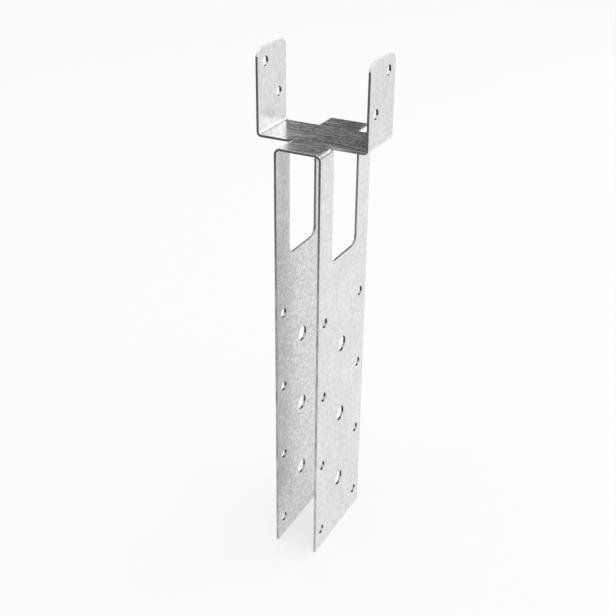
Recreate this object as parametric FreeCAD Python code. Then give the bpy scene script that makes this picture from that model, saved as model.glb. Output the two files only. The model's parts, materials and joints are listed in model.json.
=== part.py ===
import FreeCAD, Part
import math
import os

# Ridge batten bracket: one strip of sheet steel folded into a tall narrow
# channel, with a tongue cut out of each leg and turned up as a wing, so the
# top forms a cradle for a batten. Millimetres, Z up. The origin is the middle
# of the cradle seat, on the top face of the plate; the batten runs along Y.

# Sheet and folding
sheet = 1.2
leg_bend_inner_radius = 1.8
wing_bend_inner_radius = 1.0
neutral_factor = 0.4

# Strip that carries the legs
strip_width = 50.0
leg_gap = 20.0
leg_length = 210.0

# Cradle
batten_width = 50.0
batten_clearance = 1.0
wing_height = 37.0
tongue_width = 25.0
tongue_corner_radius = 4.0
shear_gap = 0.2
fold_stretch = 0.5

# Holes in the legs: nails along both edges, screws down the middle
nail_hole_diameter = 4.5
hole_row_spacing = 37.5
hole_pitch = 39.5
hole_rows = 4
last_row_from_end = 10.5
screw_hole_diameter = 7.5

# Nail holes in the wings
wing_hole_diameter = 4.5
wing_hole_offset = 5.8
upper_hole_from_tip = 6.5
lower_hole_from_tip = 22.3

# Sizes that follow from the ones above
cradle_width = batten_width + batten_clearance
half_gap = leg_gap / 2.0
half_cradle = cradle_width / 2.0
window_width = tongue_width + 2.0 * shear_gap
screw_rows = hole_rows - 1
cut_margin = 5.0
match_tolerance = 0.01


def bend_length(inner_radius):
    return math.pi / 2.0 * (inner_radius + neutral_factor * sheet)


# The window is as deep as the tongue that came out of it is long, less what
# the tongue gains as it is folded. Both are measured along the sheet from
# the line where the leg bend starts.
flat_run = half_cradle - wing_bend_inner_radius - (half_gap - leg_bend_inner_radius)
wing_run = wing_height - wing_bend_inner_radius
tongue_length = flat_run + bend_length(wing_bend_inner_radius) + wing_run
straight_window = tongue_length - fold_stretch - bend_length(leg_bend_inner_radius)
window_depth = straight_window + sheet + leg_bend_inner_radius


def point(x, z):
    return FreeCAD.Vector(x, 0.0, z)


def arc_middle(centre, radius, angle):
    turn = math.radians(angle)
    return point(centre.x + radius * math.cos(turn), centre.z + radius * math.sin(turn))


def folded_channel(face, inner_radius, reach, up, width):
    """One plate with both ends folded the same way, swept along Y."""
    # up is 1 for ends folded upwards and -1 for ends folded downwards. face is
    # the distance from the middle to the inner face of each folded end.
    inside = 0.0 if up > 0 else -sheet
    outside = -sheet if up > 0 else 0.0
    outer_radius = inner_radius + sheet
    flat = face - inner_radius
    bend_z = inside + up * inner_radius
    tip = up * reach
    edges = []
    for side in (1.0, -1.0):
        centre = point(side * flat, bend_z)
        angle = -45.0 * up if side > 0 else 180.0 + 45.0 * up
        for radius, level in ((inner_radius, inside), (outer_radius, outside)):
            start = point(side * flat, level)
            middle = arc_middle(centre, radius, angle)
            end = point(side * (flat + radius), bend_z)
            top = point(side * (flat + radius), tip)
            edges.append(Part.Arc(start, middle, end).toShape())
            edges.append(Part.makeLine(end, top))
        inner_top = point(side * face, tip)
        outer_top = point(side * (face + sheet), tip)
        edges.append(Part.makeLine(inner_top, outer_top))
    for level in (inside, outside):
        edges.append(Part.makeLine(point(-flat, level), point(flat, level)))
    wire = Part.Wire(Part.__sortEdges__(edges))
    solid = Part.Face(wire).extrude(FreeCAD.Vector(0.0, width, 0.0))
    solid.translate(FreeCAD.Vector(0.0, -width / 2.0, 0.0))
    return solid


def edges_along_x(shape, half_width, level):
    """Short edges through the sheet at one height, on both side faces."""
    found = []
    for edge in shape.Edges:
        box = edge.BoundBox
        level_ok = max(abs(box.ZMin - level), abs(box.ZMax - level)) < match_tolerance
        side_ok = max(abs(abs(box.YMin) - half_width), box.YLength) < match_tolerance
        if level_ok and side_ok and abs(box.XLength - sheet) < match_tolerance:
            found.append(edge)
    return found


def window_tool(side):
    """Block that frees one tongue from its leg."""
    inner_x = half_gap - leg_bend_inner_radius
    outer_x = half_gap + sheet + cut_margin
    depth = outer_x - inner_x
    height = window_depth + cut_margin
    corner = FreeCAD.Vector(inner_x, -window_width / 2.0, -window_depth)
    block = Part.makeBox(depth, window_width, height, corner)
    low = [e for e in block.Edges
           if max(abs(e.BoundBox.ZMax + window_depth), e.BoundBox.YLength) < match_tolerance]
    block = block.makeFillet(tongue_corner_radius, low)
    if side < 0:
        block = block.mirror(FreeCAD.Vector(0, 0, 0), FreeCAD.Vector(1, 0, 0))
    return block


def hole_tool(x, length, y, z, diameter):
    return Part.makeCylinder(diameter / 2.0, length, FreeCAD.Vector(x, y, z), FreeCAD.Vector(1, 0, 0))


def leg_tools():
    """Nail and screw holes, each punched through both legs at once."""
    start = -(half_gap + sheet + cut_margin)
    length = -2.0 * start
    last_row = -leg_length + last_row_from_end
    tools = []
    for row in range(hole_rows):
        z = last_row + row * hole_pitch
        for y in (-hole_row_spacing / 2.0, hole_row_spacing / 2.0):
            tools.append(hole_tool(start, length, y, z, nail_hole_diameter))
    for row in range(screw_rows):
        z = last_row + (row + 0.5) * hole_pitch
        tools.append(hole_tool(start, length, 0.0, z, screw_hole_diameter))
    return tools


def wing_tools():
    """Two staggered nail holes per wing, turned end for end on the far wing."""
    tools = []
    length = sheet + 2.0 * cut_margin
    for side in (1.0, -1.0):
        start = side * (half_cradle + sheet / 2.0) - length / 2.0
        upper_z = wing_height - upper_hole_from_tip
        lower_z = wing_height - lower_hole_from_tip
        tools.append(hole_tool(start, length, side * wing_hole_offset, upper_z, wing_hole_diameter))
        tools.append(hole_tool(start, length, -side * wing_hole_offset, lower_z, wing_hole_diameter))
    return tools


legs = folded_channel(half_gap, leg_bend_inner_radius, leg_length, -1.0, strip_width)
legs = legs.cut([window_tool(1.0), window_tool(-1.0)])

cradle = folded_channel(half_cradle, wing_bend_inner_radius, wing_height, 1.0, tongue_width)
tips = edges_along_x(cradle, tongue_width / 2.0, wing_height)
cradle = cradle.makeFillet(tongue_corner_radius, tips)

bracket = legs.fuse(cradle).removeSplitter()
bracket = bracket.cut(leg_tools() + wing_tools())
if bracket.ShapeType != "Solid":
    bracket = bracket.Solids[0]

os.makedirs("parts", exist_ok=True)
bracket.exportStep("parts/bracket.step")
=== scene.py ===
import bmesh
import bpy
import json
import math
from mathutils import Matrix, Vector


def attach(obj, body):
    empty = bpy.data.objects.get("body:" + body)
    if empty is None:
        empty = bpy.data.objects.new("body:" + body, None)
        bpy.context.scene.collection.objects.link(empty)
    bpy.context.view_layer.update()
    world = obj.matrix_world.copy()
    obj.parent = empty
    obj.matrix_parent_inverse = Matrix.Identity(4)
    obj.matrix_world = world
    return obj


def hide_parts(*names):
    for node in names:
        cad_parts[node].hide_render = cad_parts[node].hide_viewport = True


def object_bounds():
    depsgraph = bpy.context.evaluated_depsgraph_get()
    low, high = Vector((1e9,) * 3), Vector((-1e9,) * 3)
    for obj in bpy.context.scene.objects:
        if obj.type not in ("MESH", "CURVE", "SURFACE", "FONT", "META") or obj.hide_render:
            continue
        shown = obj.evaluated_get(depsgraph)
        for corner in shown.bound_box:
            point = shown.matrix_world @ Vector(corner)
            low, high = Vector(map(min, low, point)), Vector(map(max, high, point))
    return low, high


bl_info = {
    "name": "Ridge Batten Bracket",
    "version": (1, 0, 0),
    "blender": (4, 5, 0),
    "location": "View3D > Sidebar > Bracket",
    "description": "Finishes the folded ridge batten bracket and sets up its studio",
    "category": "Object",
}

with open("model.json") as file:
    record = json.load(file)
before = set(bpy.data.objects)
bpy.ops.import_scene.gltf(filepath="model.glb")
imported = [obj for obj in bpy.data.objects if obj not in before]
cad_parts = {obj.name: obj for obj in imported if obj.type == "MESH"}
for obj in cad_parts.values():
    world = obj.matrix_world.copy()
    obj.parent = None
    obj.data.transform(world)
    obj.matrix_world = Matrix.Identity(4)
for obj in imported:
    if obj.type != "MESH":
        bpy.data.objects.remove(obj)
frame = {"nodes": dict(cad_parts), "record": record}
solid_box = [list(corner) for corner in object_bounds()]
floor_level = solid_box[0][2]

# Material slots of the folded sheet; the wings and the channel get painted shade, hole walls get painted
# shade, and up-facing hole slants and wing tips get a painted highlight
OUTER_ZINC, CUT_EDGE, HOLE_WALL_SHADE, PAINTED_HIGHLIGHT, CHANNEL_SHADE_ZINC, WING_SHADE_ZINC = range(6)

# Sizes and colours that a user would change

class BracketSizes(bpy.types.PropertyGroup):
    """Sizes of the sheet's edges and of the rims round its holes"""

    edge_round: bpy.props.FloatProperty(
        name="Edge Rounding", description="Radius that shearing and zinc leave on every cut edge",
        default=0.00016, min=0.00002, max=0.0004, precision=5, unit="LENGTH")
    edge_band: bpy.props.FloatProperty(
        name="Edge Band", description="Width of the band of faces that follows every cut edge",
        default=0.0005, precision=5, unit="LENGTH")
    sharp_angle: bpy.props.FloatProperty(
        name="Sharp Angle", description="Edges turned further than this are rounded",
        default=math.radians(50.0), subtype="ANGLE")
    shear_gap: bpy.props.FloatProperty(
        name="Shear Gap", description="Width of the cut between a tongue and its leg",
        default=0.0002, precision=5, unit="LENGTH")
    leg_line: bpy.props.FloatProperty(
        name="Leg Line", description="Height of the faint line that the press leaves below a leg's bend",
        default=-0.003, precision=4, unit="LENGTH")
    wing_line: bpy.props.FloatProperty(
        name="Wing Line", description="Height of the faint line that the press leaves above a wing's bend",
        default=0.0022, precision=4, unit="LENGTH")
    sheet: bpy.props.FloatProperty(
        name="Sheet", description="Thickness of the sheet", default=0.0012, precision=4, unit="LENGTH")
    # Painted highlight: above this height, cut edges that face up are painted light
    tip_level: bpy.props.FloatProperty(
        name="Tip Level", description="Height above which the cut edges keep a pale coat of zinc",
        default=0.03, precision=3, unit="LENGTH")
    rim_width: bpy.props.FloatProperty(
        name="Rim Width", description="Width of the zinc bead round a punched hole",
        default=0.00042, precision=5, unit="LENGTH")
    rim_height: bpy.props.FloatProperty(
        name="Rim Height", description="How far that bead stands off the sheet",
        default=0.00008, precision=5, unit="LENGTH")
    rim_segments: bpy.props.IntProperty(
        name="Rim Segments", description="Sides of each bead", default=40, min=12, max=96)


class BracketFinish(bpy.types.PropertyGroup):
    """Colours and texture of the galvanised sheet"""

    zinc_light: bpy.props.FloatVectorProperty(
        name="Zinc Light", description="Brighter tone of the zinc", subtype="COLOR",
        default=(0.85, 0.855, 0.86), min=0.0, max=1.0)
    zinc_dark: bpy.props.FloatVectorProperty(
        name="Zinc Dark", description="Duller tone of the zinc", subtype="COLOR",
        default=(0.69, 0.695, 0.705), min=0.0, max=1.0)
    # Painted shade: the wings use a darker copy of the sheet's zinc, not a different coat
    shaded_wing_light: bpy.props.FloatVectorProperty(
        name="Wing Light", description="Brighter tone of the zinc on the wings", subtype="COLOR",
        default=(0.79, 0.795, 0.8), min=0.0, max=1.0)
    shaded_wing_dark: bpy.props.FloatVectorProperty(
        name="Wing Dark", description="Duller tone of the zinc on the wings", subtype="COLOR",
        default=(0.64, 0.645, 0.655), min=0.0, max=1.0)
    # Painted shade: the zinc between the legs, inside the channel, is a darker copy of the sheet's zinc
    shaded_channel_light: bpy.props.FloatVectorProperty(
        name="Dull Light", description="Brighter tone of the zinc inside the channel", subtype="COLOR",
        default=(0.83, 0.835, 0.84), min=0.0, max=1.0)
    shaded_channel_dark: bpy.props.FloatVectorProperty(
        name="Dull Dark", description="Duller tone of the zinc inside the channel", subtype="COLOR",
        default=(0.53, 0.535, 0.545), min=0.0, max=1.0)
    cut_light: bpy.props.FloatVectorProperty(
        name="Cut Light", description="Brighter tone of a sheared edge", subtype="COLOR",
        default=(0.6, 0.6, 0.61), min=0.0, max=1.0)
    cut_dark: bpy.props.FloatVectorProperty(
        name="Cut Dark", description="Duller tone of a sheared edge", subtype="COLOR",
        default=(0.28, 0.28, 0.285), min=0.0, max=1.0)
    # Painted shade: a hole's wall is bare cut steel painted very dark for the shade inside the hole
    shaded_wall_light: bpy.props.FloatVectorProperty(
        name="Wall Light", description="Brighter tone of a punched hole's wall", subtype="COLOR",
        default=(0.2, 0.2, 0.205), min=0.0, max=1.0)
    shaded_wall_dark: bpy.props.FloatVectorProperty(
        name="Wall Dark", description="Duller tone of a punched hole's wall", subtype="COLOR",
        default=(0.06, 0.06, 0.063), min=0.0, max=1.0)
    # Painted highlight: the lit copy for the up-facing slant of a hole's wall and the up-facing cut edges of
    # the wing tips
    painted_highlight_light: bpy.props.FloatVectorProperty(
        name="Painted Highlight Light", description="Brighter tone of the zinc at the foot of a hole and on a wing's tip",
        subtype="COLOR", default=(0.9, 0.9, 0.91), min=0.0, max=1.0)
    painted_highlight_dark: bpy.props.FloatVectorProperty(
        name="Painted Highlight Dark", description="Duller tone of that zinc", subtype="COLOR",
        default=(0.75, 0.75, 0.76), min=0.0, max=1.0)
    mottle_size: bpy.props.FloatProperty(
        name="Mottle Size", description="Size of one patch in the zinc", default=0.0019,
        precision=4, unit="LENGTH")
    grain_size: bpy.props.FloatProperty(
        name="Grain Size", description="Size of one patch in the zinc inside the channel", default=0.0012,
        precision=4, unit="LENGTH")
    cloud_share: bpy.props.FloatProperty(
        name="Cloud Share", description="Share of wide, soft clouds among the patches",
        default=0.25, min=0.0, max=1.0, subtype="FACTOR")
    channel_cloud_share: bpy.props.FloatProperty(
        name="Channel Cloud Share", description="The same share inside the channel",
        default=0.1, min=0.0, max=1.0, subtype="FACTOR")
    zinc_roughness: bpy.props.FloatProperty(
        name="Zinc Roughness", description="Roughness of the duller patches of zinc",
        default=0.38, min=0.0, max=1.0, subtype="FACTOR")
    channel_roughness: bpy.props.FloatProperty(
        name="Channel Roughness", description="The same inside the channel, which mirrors more clearly",
        default=0.28, min=0.0, max=1.0, subtype="FACTOR")
    cut_roughness: bpy.props.FloatProperty(
        name="Cut Roughness", description="Roughness of the duller spots on cut steel",
        default=0.45, min=0.0, max=1.0, subtype="FACTOR")
    # Roughness of the painted-highlight copy
    painted_highlight_roughness: bpy.props.FloatProperty(
        name="Painted Highlight Roughness", description="Roughness of the duller spots on pooled zinc",
        default=0.8, min=0.0, max=1.0, subtype="FACTOR")


class BracketStudio(bpy.types.PropertyGroup):
    """Camera, lamps and floor"""

    azimuth: bpy.props.FloatProperty(
        name="Azimuth", description="How far the camera stands round to the right",
        default=math.radians(27.25), subtype="ANGLE")
    elevation: bpy.props.FloatProperty(
        name="Elevation", description="How steeply the camera looks down",
        default=math.radians(27.67), subtype="ANGLE")
    roll: bpy.props.FloatProperty(
        name="Roll", description="Tilt of the camera about its own line of sight",
        default=math.radians(0.52), subtype="ANGLE")
    distance: bpy.props.FloatProperty(
        name="Distance", description="From the camera to the point it looks at",
        default=0.4813, unit="LENGTH")
    target: bpy.props.FloatVectorProperty(
        name="Target", description="Point the camera looks at",
        default=(-0.00713, 0.0, -0.08633), subtype="XYZ", unit="LENGTH")
    lens: bpy.props.FloatProperty(
        name="Lens", description="Focal length in millimetres", default=59.06)
    top_power: bpy.props.FloatProperty(
        name="Top Lamp", description="Power of the soft lamp overhead", default=3.0, unit="POWER")
    side_power: bpy.props.FloatProperty(
        name="Side Lamp", description="Power of the soft lamp behind on the right", default=2.6,
        unit="POWER")
    ambient: bpy.props.FloatProperty(
        name="Ambient", description="Strength of the light from all round", default=0.83)
    floor_colour: bpy.props.FloatVectorProperty(
        name="Floor", description="Colour of the floor", subtype="COLOR",
        default=(0.95, 0.95, 0.95), min=0.0, max=1.0)
    floor_glow: bpy.props.FloatProperty(
        name="Floor White", description="Share of plain white that the floor shows", default=0.68,
        min=0.0, max=1.0)
    panel_colour: bpy.props.FloatVectorProperty(
        name="Panel", description="Colour of the two panels that the metal mirrors", subtype="COLOR",
        default=(0.08, 0.08, 0.084), min=0.0, max=1.0)


# Materials

def new_material(name):
    material = bpy.data.materials.new(name)
    material.use_nodes = True
    material.node_tree.nodes.clear()
    return material


def add(tree, kind, **settings):
    node = tree.nodes.new(kind)
    for key, value in settings.items():
        setattr(node, key, value)
    return node


def noise(tree, place, stretch, scale, detail):
    """Noise on the object's own coordinates, stretched by the three numbers given"""
    mapping = add(tree, "ShaderNodeMapping")
    mapping.inputs["Scale"].default_value = stretch
    texture = add(tree, "ShaderNodeTexNoise")
    texture.inputs["Scale"].default_value = scale
    texture.inputs["Detail"].default_value = detail
    tree.links.new(place, mapping.inputs["Vector"])
    tree.links.new(mapping.outputs["Vector"], texture.inputs["Vector"])
    return texture.outputs["Fac"]


def remap(tree, value, low, high, to_low, to_high):
    node = add(tree, "ShaderNodeMapRange")
    node.inputs["From Min"].default_value = low
    node.inputs["From Max"].default_value = high
    node.inputs["To Min"].default_value = to_low
    node.inputs["To Max"].default_value = to_high
    tree.links.new(value, node.inputs["Value"])
    return node.outputs["Result"]


def blend(tree, first, second, share):
    """share of second in first"""
    node = add(tree, "ShaderNodeMix", data_type="FLOAT")
    node.inputs["Factor"].default_value = share
    tree.links.new(first, node.inputs["A"])
    tree.links.new(second, node.inputs["B"])
    return node.outputs["Result"]


def tone(tree, factor, dark, light):
    ramp = add(tree, "ShaderNodeValToRGB")
    ramp.color_ramp.elements[0].color = (*dark, 1.0)
    ramp.color_ramp.elements[1].color = (*light, 1.0)
    tree.links.new(factor, ramp.inputs["Fac"])
    return ramp.outputs["Color"]


def press_lines(tree, place, sizes):
    """1 on the faint lines that folding leaves beside each bend, 0 elsewhere"""
    split = add(tree, "ShaderNodeSeparateXYZ")
    tree.links.new(place, split.inputs["Vector"])
    total = None
    for level in (sizes.leg_line, sizes.wing_line):
        offset = add(tree, "ShaderNodeMath", operation="SUBTRACT")
        offset.inputs[1].default_value = level
        tree.links.new(split.outputs["Z"], offset.inputs[0])
        size = add(tree, "ShaderNodeMath", operation="ABSOLUTE")
        tree.links.new(offset.outputs["Value"], size.inputs[0])
        line = remap(tree, size.outputs["Value"], 0.0, sizes.sheet / 2.0, 1.0, 0.0)
        if total is None:
            total = line
            continue
        join = add(tree, "ShaderNodeMath", operation="MAXIMUM")
        tree.links.new(total, join.inputs[0])
        tree.links.new(line, join.inputs[1])
        total = join.outputs["Value"]
    return total


def zinc_coat(name, dark, light, patch_size, cloudy, roughest, sizes):
    """Galvanised sheet: faint spangle, cloudy patches, and streaks along the rolled strip"""
    material = new_material(name)
    tree = material.node_tree
    place = add(tree, "ShaderNodeTexCoord").outputs["Object"]
    even = 1.0 / patch_size
    mottle = noise(tree, place, (1.0, 1.0, 1.0), even, 4.0)
    cloud = noise(tree, place, (1.0, 1.0, 1.0), even / 9.0, 2.0)
    # The strip runs along X on the plate and along Z on the legs, so its rolling streaks change only with Y.
    streak = noise(tree, place, (0.04, 1.0, 0.04), even * 3.0, 3.0)
    band = noise(tree, place, (0.13, 1.0, 0.13), even * 0.9, 5.0)
    cells = add(tree, "ShaderNodeTexVoronoi", feature="F1")
    cells.inputs["Scale"].default_value = even / 1.6
    tree.links.new(place, cells.inputs["Vector"])
    spangle = add(tree, "ShaderNodeRGBToBW")
    tree.links.new(cells.outputs["Color"], spangle.inputs["Color"])

    patch = blend(tree, mottle, cloud, cloudy)
    patch = blend(tree, patch, spangle.outputs["Val"], 0.12)
    patch = blend(tree, patch, streak, 0.12)
    shade = remap(tree, patch, 0.36, 0.64, 0.0, 1.0)
    worn = add(tree, "ShaderNodeMath", operation="MULTIPLY_ADD", use_clamp=True)
    worn.inputs[1].default_value = -0.45
    tree.links.new(press_lines(tree, place, sizes), worn.inputs[0])
    tree.links.new(shade, worn.inputs[2])
    shade = worn.outputs["Value"]
    # Rougher bands scatter more, which shows where the sheet mirrors something dark.
    smoothest = 0.45 * roughest
    rough = remap(tree, blend(tree, patch, band, 0.5), 0.38, 0.62, roughest, smoothest)

    grain = add(tree, "ShaderNodeBump")
    grain.inputs["Strength"].default_value = 0.6
    grain.inputs["Distance"].default_value = 0.00003
    tree.links.new(streak, grain.inputs["Height"])
    bump = add(tree, "ShaderNodeBump")
    bump.inputs["Strength"].default_value = 0.35
    bump.inputs["Distance"].default_value = 0.00003
    tree.links.new(mottle, bump.inputs["Height"])
    tree.links.new(grain.outputs["Normal"], bump.inputs["Normal"])
    shader = add(tree, "ShaderNodeBsdfPrincipled")
    shader.inputs["Metallic"].default_value = 1.0
    tree.links.new(tone(tree, shade, dark, light), shader.inputs["Base Color"])
    tree.links.new(rough, shader.inputs["Roughness"])
    tree.links.new(bump.outputs["Normal"], shader.inputs["Normal"])
    output = add(tree, "ShaderNodeOutputMaterial")
    tree.links.new(shader.outputs["BSDF"], output.inputs["Surface"])
    return material


def bare_cut(name, dark, light, roughest):
    """Cut steel, or the darker painted-shade and lighter painted-highlight copies used in holes and on wing
    tips, with fine marks from the blade or punch
    """
    smoothest = 0.62 * roughest
    material = new_material(name)
    tree = material.node_tree
    place = add(tree, "ShaderNodeTexCoord").outputs["Object"]
    marks = noise(tree, place, (0.2, 1.0, 1.0), 2600.0, 3.0)
    wear = noise(tree, place, (1.0, 1.0, 1.0), 120.0, 4.0)
    both = blend(tree, wear, marks, 0.4)
    shade = remap(tree, both, 0.35, 0.65, 0.0, 1.0)
    bump = add(tree, "ShaderNodeBump")
    bump.inputs["Strength"].default_value = 0.5
    bump.inputs["Distance"].default_value = 0.00004
    tree.links.new(marks, bump.inputs["Height"])
    shader = add(tree, "ShaderNodeBsdfPrincipled")
    shader.inputs["Metallic"].default_value = 1.0
    tree.links.new(tone(tree, shade, dark, light), shader.inputs["Base Color"])
    tree.links.new(remap(tree, both, 0.35, 0.65, roughest, smoothest), shader.inputs["Roughness"])
    tree.links.new(bump.outputs["Normal"], shader.inputs["Normal"])
    output = add(tree, "ShaderNodeOutputMaterial")
    tree.links.new(shader.outputs["BSDF"], output.inputs["Surface"])
    return material


def matte(name, colour):
    material = new_material(name)
    tree = material.node_tree
    surface = add(tree, "ShaderNodeBsdfDiffuse")
    surface.inputs["Color"].default_value = (*colour, 1.0)
    output = add(tree, "ShaderNodeOutputMaterial")
    tree.links.new(surface.outputs["BSDF"], output.inputs["Surface"])
    return material


def seen_rays(tree, share):
    """share for rays from the camera and for those mirrored or let through, 0 for the rest"""
    rays = add(tree, "ShaderNodeLightPath")
    total = rays.outputs["Is Camera Ray"]
    for name in ("Is Glossy Ray", "Is Transmission Ray"):
        join = add(tree, "ShaderNodeMath", operation="ADD", use_clamp=True)
        tree.links.new(total, join.inputs[0])
        tree.links.new(rays.outputs[name], join.inputs[1])
        total = join.outputs["Value"]
    scaled = add(tree, "ShaderNodeMath", operation="MULTIPLY")
    tree.links.new(total, scaled.inputs[0])
    scaled.inputs[1].default_value = share
    return scaled.outputs["Value"]


def pale_floor(studio):
    """Matte floor that shows mostly as white and keeps a faint shadow"""
    material = new_material("pale_floor")
    tree = material.node_tree
    surface = add(tree, "ShaderNodeBsdfDiffuse")
    surface.inputs["Color"].default_value = (*studio.floor_colour, 1.0)
    white = add(tree, "ShaderNodeEmission")
    mix = add(tree, "ShaderNodeMixShader")
    tree.links.new(seen_rays(tree, studio.floor_glow), mix.inputs["Fac"])
    tree.links.new(surface.outputs["BSDF"], mix.inputs[1])
    tree.links.new(white.outputs["Emission"], mix.inputs[2])
    output = add(tree, "ShaderNodeOutputMaterial")
    tree.links.new(mix.outputs["Shader"], output.inputs["Surface"])
    return material


# The folded sheet

def bend_height(sizes):
    """Height past which the sheet stands straight, above the plate or below it"""
    return 4.0 * sizes.sheet


def is_cut(face, sizes):
    """True for a face across the sheet's thickness, such as an edge or a hole's wall"""
    normal = face.normal
    upright = abs(face.calc_center_median().z) > bend_height(sizes)
    return abs(normal.y) > 0.3 or (upright and abs(normal.x) < 0.5)


def in_channel(face, leg_face):
    """True for a face between the two legs; leg_face is how far a leg's outer face is from the middle"""
    centre = face.calc_center_median()
    inward = face.normal.x * centre.x < 0.0 or face.normal.z < -0.5
    return inward and abs(centre.x) < 0.95 * leg_face and centre.z < 0.0


def in_hole(face, holes):
    """True for a face on the wall of a punched hole"""
    centre = face.calc_center_median()
    for (x, y, z), (out, radius) in holes.items():
        near = abs(abs(centre.x) - abs(x)) < radius and centre.x * x > 0.0
        if near and math.hypot(centre.y - y, centre.z - z) < 1.05 * radius:
            return True
    return False


def slot_of(face, holes, leg_face, sizes):
    """Material slot that a face belongs to"""
    level = face.calc_center_median().z
    if not is_cut(face, sizes):
        # Painted shade: the flat faces of the wings take the darker copy of the zinc
        if level > bend_height(sizes):
            return WING_SHADE_ZINC
        # Painted shade: faces between the legs take the darker copy of the zinc
        return CHANNEL_SHADE_ZINC if in_channel(face, leg_face) else OUTER_ZINC
    if in_hole(face, holes):
        # Painted highlight and painted shade: a wall's up-facing slant takes the lit copy, the rest of the
        # wall the dark copy
        at_foot = 0.3 < face.normal.z < 0.9
        return PAINTED_HIGHLIGHT if at_foot else HOLE_WALL_SHADE
    # Painted highlight: up-facing cut edges on the wing tips take the lit copy
    at_tip = face.normal.z > 0.2 and level > sizes.tip_level
    return PAINTED_HIGHLIGHT if at_tip else CUT_EDGE


def mark_rounded_edges(form, sizes):
    """Mark every sharp edge for rounding, except across the narrow cut beside a tongue"""
    rounded = form.edges.layers.float.new("bevel_weight_edge")
    for edge in form.edges:
        sharp = len(edge.link_faces) == 2 and edge.calc_face_angle() > sizes.sharp_angle
        edge[rounded] = 1.0 if sharp and edge.calc_length() > 1.1 * sizes.shear_gap else 0.0


def finished_object(name, mesh, materials):
    for material in materials:
        mesh.materials.append(material)
    piece = bpy.data.objects.new(name, mesh)
    bpy.context.scene.collection.objects.link(piece)
    return piece


class BRACKET_OT_folded_sheet(bpy.types.Operator):
    """Give the folded sheet joined faces, rounded cut edges and its zinc"""

    bl_idname = "bracket.folded_sheet"
    bl_label = "Folded Sheet"

    def execute(self, context):
        sizes = context.scene.bracket_sizes
        finish = context.scene.bracket_finish
        source = frame["nodes"]["bracket"]
        form = bmesh.new()
        form.from_mesh(source.data)
        bmesh.ops.remove_doubles(form, verts=form.verts, dist=1e-6)
        bmesh.ops.dissolve_limit(form, angle_limit=math.radians(0.3), verts=form.verts, edges=form.edges)
        form.normal_update()
        holes = punched_holes(sizes)
        leg_face = max(abs(x) for (x, y, z) in holes if z < 0.0)
        for face in form.faces:
            face.smooth = True
            face.material_index = slot_of(face, holes, leg_face, sizes)
        # A narrow band along every edge and round every hole gives the rounding clean faces to work on.
        skin = [face for face in form.faces if face.material_index in (OUTER_ZINC, CHANNEL_SHADE_ZINC, WING_SHADE_ZINC)]
        bmesh.ops.inset_region(form, faces=skin, thickness=sizes.edge_band, depth=0.0,
                               use_boundary=False, use_even_offset=True)
        bmesh.ops.dissolve_degenerate(form, dist=1e-6, edges=form.edges)
        form.normal_update()
        mark_rounded_edges(form, sizes)
        mesh = bpy.data.meshes.new("folded_sheet")
        form.to_mesh(mesh)
        form.free()
        if not mesh.polygons:
            raise RuntimeError("the bracket's solid has no faces")
        piece = finished_object("folded_sheet", mesh, [
            zinc_coat("zinc_coat", finish.zinc_dark, finish.zinc_light,
                      finish.mottle_size, finish.cloud_share, finish.zinc_roughness, sizes),
            bare_cut("sheared_edge", finish.cut_dark, finish.cut_light, finish.cut_roughness),
            # Painted shade on the walls of the holes
            bare_cut("punched_wall_painted_shade", finish.shaded_wall_dark, finish.shaded_wall_light, finish.cut_roughness),
            # Painted highlight on up-facing hole slants and wing tips
            bare_cut("painted_highlight_zinc", finish.painted_highlight_dark, finish.painted_highlight_light, finish.painted_highlight_roughness),
            # Painted shade inside the channel: the same zinc in darker tones, with finer grain and less
            # roughness
            zinc_coat("channel_zinc_painted_shade", finish.shaded_channel_dark, finish.shaded_channel_light,
                      finish.grain_size, finish.channel_cloud_share, finish.channel_roughness, sizes),
            # Painted shade on the wings: the same zinc in darker tones
            zinc_coat("wing_zinc_painted_shade", finish.shaded_wing_dark, finish.shaded_wing_light,
                      finish.mottle_size, finish.cloud_share, finish.zinc_roughness, sizes)])
        rounding = piece.modifiers.new("Rounded edges", "BEVEL")
        rounding.width = sizes.edge_round
        rounding.segments = 2
        rounding.limit_method = "WEIGHT"
        rounding.use_clamp_overlap = False
        even = piece.modifiers.new("Flat faces stay flat", "WEIGHTED_NORMAL")
        even.mode = "FACE_AREA"
        even.weight = 100
        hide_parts("bracket")
        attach(piece, "root")
        return {"FINISHED"}


# Rims round the punched holes

def punched_holes(sizes):
    """Centre on the face the punch came out of, direction out of that face, and radius of each hole"""
    holes = {}
    for mount in frame["record"]["mounts"]:
        x, y, z = mount["pos_m"]
        side = mount["axis"][0]
        dims = mount["dims"]
        if mount["kind"] == "bolt_pattern":
            across = dims.get("spacing_x_mm", 0.0) / 2000.0
            along = dims["spacing_y_mm"] / 2000.0
            spots = [(x, y + a, z + b) for a in {across, -across} for b in (along, -along)]
            out, radius = side, dims["hole_r_mm"] / 1000.0
        elif mount["kind"] == "bore":
            spots = [(x - side * sizes.sheet / 2.0, y, z)]
            out, radius = -side, dims["r_mm"] / 1000.0
        else:
            continue
        for spot in spots:
            holes[tuple(round(value, 6) for value in spot)] = (out, radius)
    return holes


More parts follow.
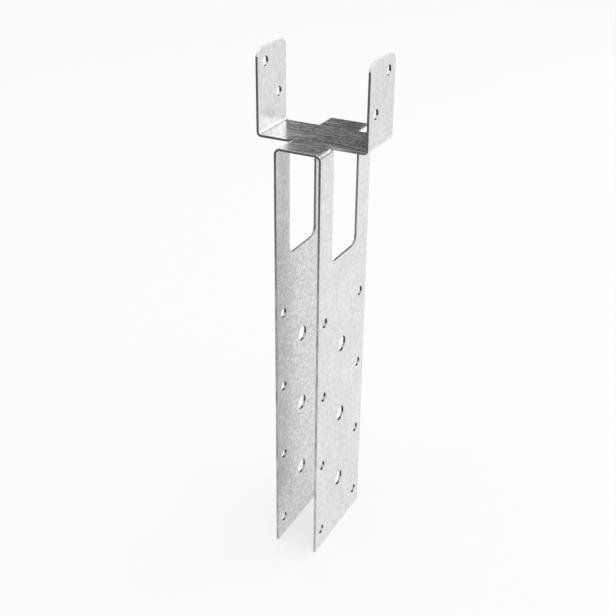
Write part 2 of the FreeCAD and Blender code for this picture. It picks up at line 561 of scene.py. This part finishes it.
def rim_tree(material):
    """One bead on each point, nail or screw size, turned to face out of the sheet"""
    tree = bpy.data.node_groups.new("Hole rims", "GeometryNodeTree")
    sockets = tree.interface
    sockets.new_socket("Geometry", in_out="INPUT", socket_type="NodeSocketGeometry")
    for name in ("Nail Radius", "Screw Radius", "Rim Width", "Rim Height"):
        sockets.new_socket(name, in_out="INPUT", socket_type="NodeSocketFloat")
    sockets.new_socket("Segments", in_out="INPUT", socket_type="NodeSocketInt")
    sockets.new_socket("Geometry", in_out="OUTPUT", socket_type="NodeSocketGeometry")
    given = add(tree, "NodeGroupInput")
    result = add(tree, "NodeGroupOutput")

    section = add(tree, "GeometryNodeCurvePrimitiveCircle")
    section.inputs["Resolution"].default_value = 10
    section.inputs["Radius"].default_value = 1.0
    half_width = add(tree, "ShaderNodeMath", operation="MULTIPLY")
    half_width.inputs[1].default_value = 0.5
    tree.links.new(given.outputs["Rim Width"], half_width.inputs[0])
    size = add(tree, "ShaderNodeCombineXYZ")
    tree.links.new(half_width.outputs["Value"], size.inputs["X"])
    tree.links.new(given.outputs["Rim Height"], size.inputs["Y"])
    size.inputs["Z"].default_value = 1.0
    squash = add(tree, "GeometryNodeTransform")
    tree.links.new(section.outputs["Curve"], squash.inputs["Geometry"])
    tree.links.new(size.outputs["Vector"], squash.inputs["Scale"])

    facing = add(tree, "GeometryNodeInputNamedAttribute", data_type="FLOAT_VECTOR")
    facing.inputs["Name"].default_value = "facing"
    turn = add(tree, "FunctionNodeAlignRotationToVector", axis="Z")
    tree.links.new(facing.outputs["Attribute"], turn.inputs["Vector"])
    wide = add(tree, "GeometryNodeInputNamedAttribute", data_type="BOOLEAN")
    wide.inputs["Name"].default_value = "for_screw"
    narrow = add(tree, "FunctionNodeBooleanMath", operation="NOT")
    tree.links.new(wide.outputs["Attribute"], narrow.inputs[0])

    join = add(tree, "GeometryNodeJoinGeometry")
    choices = {"Nail Radius": narrow.outputs["Boolean"], "Screw Radius": wide.outputs["Attribute"]}
    for name, chosen in choices.items():
        reach = add(tree, "ShaderNodeMath", operation="ADD")
        tree.links.new(given.outputs[name], reach.inputs[0])
        tree.links.new(given.outputs["Rim Width"], reach.inputs[1])
        ring = add(tree, "GeometryNodeCurvePrimitiveCircle")
        tree.links.new(given.outputs["Segments"], ring.inputs["Resolution"])
        tree.links.new(reach.outputs["Value"], ring.inputs["Radius"])
        bead = add(tree, "GeometryNodeCurveToMesh")
        tree.links.new(ring.outputs["Curve"], bead.inputs["Curve"])
        tree.links.new(squash.outputs["Geometry"], bead.inputs["Profile Curve"])
        placed = add(tree, "GeometryNodeInstanceOnPoints")
        tree.links.new(given.outputs["Geometry"], placed.inputs["Points"])
        tree.links.new(chosen, placed.inputs["Selection"])
        tree.links.new(bead.outputs["Mesh"], placed.inputs["Instance"])
        tree.links.new(turn.outputs["Rotation"], placed.inputs["Rotation"])
        tree.links.new(placed.outputs["Instances"], join.inputs["Geometry"])

    real = add(tree, "GeometryNodeRealizeInstances")
    dressed = add(tree, "GeometryNodeSetMaterial")
    dressed.inputs["Material"].default_value = material
    tree.links.new(join.outputs["Geometry"], real.inputs["Geometry"])
    tree.links.new(real.outputs["Geometry"], dressed.inputs["Geometry"])
    tree.links.new(dressed.outputs["Geometry"], result.inputs["Geometry"])
    return tree


def plain_mesh(piece, name):
    """The evaluated object as a plain mesh, with its faces turned outwards"""
    context = bpy.context
    context.view_layer.update()
    mesh = bpy.data.meshes.new_from_object(piece.evaluated_get(context.evaluated_depsgraph_get()))
    form = bmesh.new()
    form.from_mesh(mesh)
    bmesh.ops.remove_doubles(form, verts=form.verts, dist=1e-7)
    bmesh.ops.recalc_face_normals(form, faces=form.faces)
    for face in form.faces:
        face.smooth = True
    form.to_mesh(mesh)
    form.free()
    mesh.name = name
    return mesh


class BRACKET_OT_hole_rims(bpy.types.Operator):
    """Lay a low bead of zinc round every punched hole"""

    bl_idname = "bracket.hole_rims"
    bl_label = "Hole Rims"

    def execute(self, context):
        sizes = context.scene.bracket_sizes
        holes = punched_holes(sizes)
        if not holes:
            raise RuntimeError("the frame names no holes")
        radii = sorted({radius for out, radius in holes.values()})
        points = bpy.data.meshes.new("hole_centres")
        points.from_pydata(list(holes), [], [])
        facing = points.attributes.new("facing", "FLOAT_VECTOR", "POINT")
        for_screw = points.attributes.new("for_screw", "BOOLEAN", "POINT")
        for index, (out, radius) in enumerate(holes.values()):
            facing.data[index].vector = (out, 0.0, 0.0)
            for_screw.data[index].value = radius > radii[0]
        piece = bpy.data.objects.new("hole_rims", points)
        context.scene.collection.objects.link(piece)
        material = bpy.data.materials["zinc_coat"]
        tree = rim_tree(material)
        modifier = piece.modifiers.new("Hole rims", "NODES")
        modifier.node_group = tree
        values = {"Nail Radius": radii[0], "Screw Radius": radii[-1], "Rim Width": sizes.rim_width,
                  "Rim Height": sizes.rim_height, "Segments": sizes.rim_segments}
        for item in tree.interface.items_tree:
            if item.in_out == "INPUT" and item.name in values:
                modifier[item.identifier] = values[item.name]
        mesh = plain_mesh(piece, "hole_rims")
        piece.modifiers.remove(modifier)
        piece.data = mesh
        bpy.data.meshes.remove(points)
        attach(piece, "root")
        return {"FINISHED"}


# Floor, lamps and camera

def level_square(name, size, centre, material):
    half = size / 2.0
    corners = [(-half, -half, 0.0), (half, -half, 0.0), (half, half, 0.0), (-half, half, 0.0)]
    mesh = bpy.data.meshes.new(name)
    mesh.from_pydata(corners, [], [(0, 1, 2, 3)])
    mesh.materials.append(material)
    item = bpy.data.objects.new(name, mesh)
    item.location = centre
    bpy.context.scene.collection.objects.link(item)
    return item


def face_towards(item, goal):
    """Turn an item so that its underside looks at the goal"""
    away = Vector(item.location) - Vector(goal)
    item.rotation_euler = away.to_track_quat("Z", "Y").to_euler()


def shade_panel(name, size, place, goal, material):
    """Grey panel that the metal mirrors, which casts no shadow and stays out of the picture"""
    panel = level_square(name, size, place, material)
    face_towards(panel, goal)
    panel.visible_camera = False
    panel.visible_shadow = False
    panel.visible_diffuse = False
    return panel


def soft_lamp(name, power, size, place, goal):
    lamp = bpy.data.lights.new(name, "AREA")
    lamp.shape = "SQUARE"
    lamp.size = size
    lamp.energy = power
    item = bpy.data.objects.new(name, lamp)
    item.location = place
    bpy.context.scene.collection.objects.link(item)
    face_towards(item, goal)
    return item


def plain_world(studio):
    world = bpy.data.worlds.new("plain_world")
    world.use_nodes = True
    tree = world.node_tree
    tree.nodes.clear()
    around = add(tree, "ShaderNodeBackground")
    around.inputs["Strength"].default_value = studio.ambient
    white = add(tree, "ShaderNodeBackground")
    for background in (around, white):
        background.inputs["Color"].default_value = (1.0, 1.0, 1.0, 1.0)
    mix = add(tree, "ShaderNodeMixShader")
    tree.links.new(seen_rays(tree, 1.0), mix.inputs["Fac"])
    tree.links.new(around.outputs["Background"], mix.inputs[1])
    tree.links.new(white.outputs["Background"], mix.inputs[2])
    output = add(tree, "ShaderNodeOutputWorld")
    tree.links.new(mix.outputs["Shader"], output.inputs["Surface"])
    return world


def studio_camera(studio):
    az, el, roll = studio.azimuth, studio.elevation, studio.roll
    ahead = Vector((-math.sin(az) * math.cos(el), math.cos(az) * math.cos(el), -math.sin(el)))
    right = Vector((math.cos(az), math.sin(az), 0.0))
    up = right.cross(ahead)
    side = math.cos(roll) * right + math.sin(roll) * up
    top = math.cos(roll) * up - math.sin(roll) * right
    place = Vector(studio.target) - studio.distance * ahead
    view = bpy.data.cameras.new("studio_camera")
    view.sensor_width = 36.0
    view.lens = studio.lens
    view.clip_start = 0.01
    item = bpy.data.objects.new("studio_camera", view)
    turn = Matrix((side, top, -ahead)).transposed()
    item.matrix_world = Matrix.Translation(place) @ turn.to_4x4()
    bpy.context.scene.collection.objects.link(item)
    return item


class BRACKET_OT_studio(bpy.types.Operator):
    """Set the floor, the two shade panels, the lamps and the camera"""

    bl_idname = "bracket.studio"
    bl_label = "Studio"

    def execute(self, context):
        studio = context.scene.bracket_studio
        floor = level_square("floor", 40.0, (0.0, 0.0, floor_level), pale_floor(studio))
        grey = matte("panel_grey", studio.panel_colour)
        seat = (0.0, 0.0, 0.0)
        back_shade = shade_panel("back_shade", size=1.1, place=(-0.24, 1.39, 0.5), goal=seat, material=grey)
        front_level = floor_level + 0.15
        front_shade = shade_panel("front_shade", size=0.3, place=(-0.148, -0.288, front_level),
                                  goal=(0.0, 0.0, front_level), material=grey)
        soft_lamp("top_lamp", studio.top_power, size=0.9, place=(0.25, 0.1, 1.2), goal=(0.0, 0.0, -0.1))
        soft_lamp("side_lamp", studio.side_power, size=1.05, place=(0.72, 1.25, 0.5), goal=seat)
        context.scene.world = plain_world(studio)
        context.scene.camera = studio_camera(studio)
        context.scene.view_settings.view_transform = "Standard"
        return {"FINISHED"}


class BRACKET_PT_sidebar(bpy.types.Panel):
    """Lists the bracket's steps and sizes"""

    bl_idname = "BRACKET_PT_sidebar"
    bl_label = "Ridge Batten Bracket"
    bl_space_type = "VIEW_3D"
    bl_region_type = "UI"
    bl_category = "Bracket"

    def draw(self, context):
        layout = self.layout
        for step in steps:
            layout.operator(step.bl_idname)
        for name, group in groups.items():
            box = layout.box()
            for key in group.__annotations__:
                box.prop(getattr(context.scene, name), key)


groups = {"bracket_sizes": BracketSizes, "bracket_finish": BracketFinish, "bracket_studio": BracketStudio}
steps = (BRACKET_OT_folded_sheet, BRACKET_OT_hole_rims, BRACKET_OT_studio)
classes = (*groups.values(), *steps, BRACKET_PT_sidebar)


def register():
    for item in classes:
        bpy.utils.register_class(item)
    for name, group in groups.items():
        setattr(bpy.types.Scene, name, bpy.props.PointerProperty(type=group))


def unregister():
    for name in groups:
        delattr(bpy.types.Scene, name)
    for item in reversed(classes):
        bpy.utils.unregister_class(item)


def main():
    register()
    bpy.ops.bracket.folded_sheet()
    bpy.ops.bracket.hole_rims()
    bpy.ops.bracket.studio()


if __name__ == "__main__":
    main()
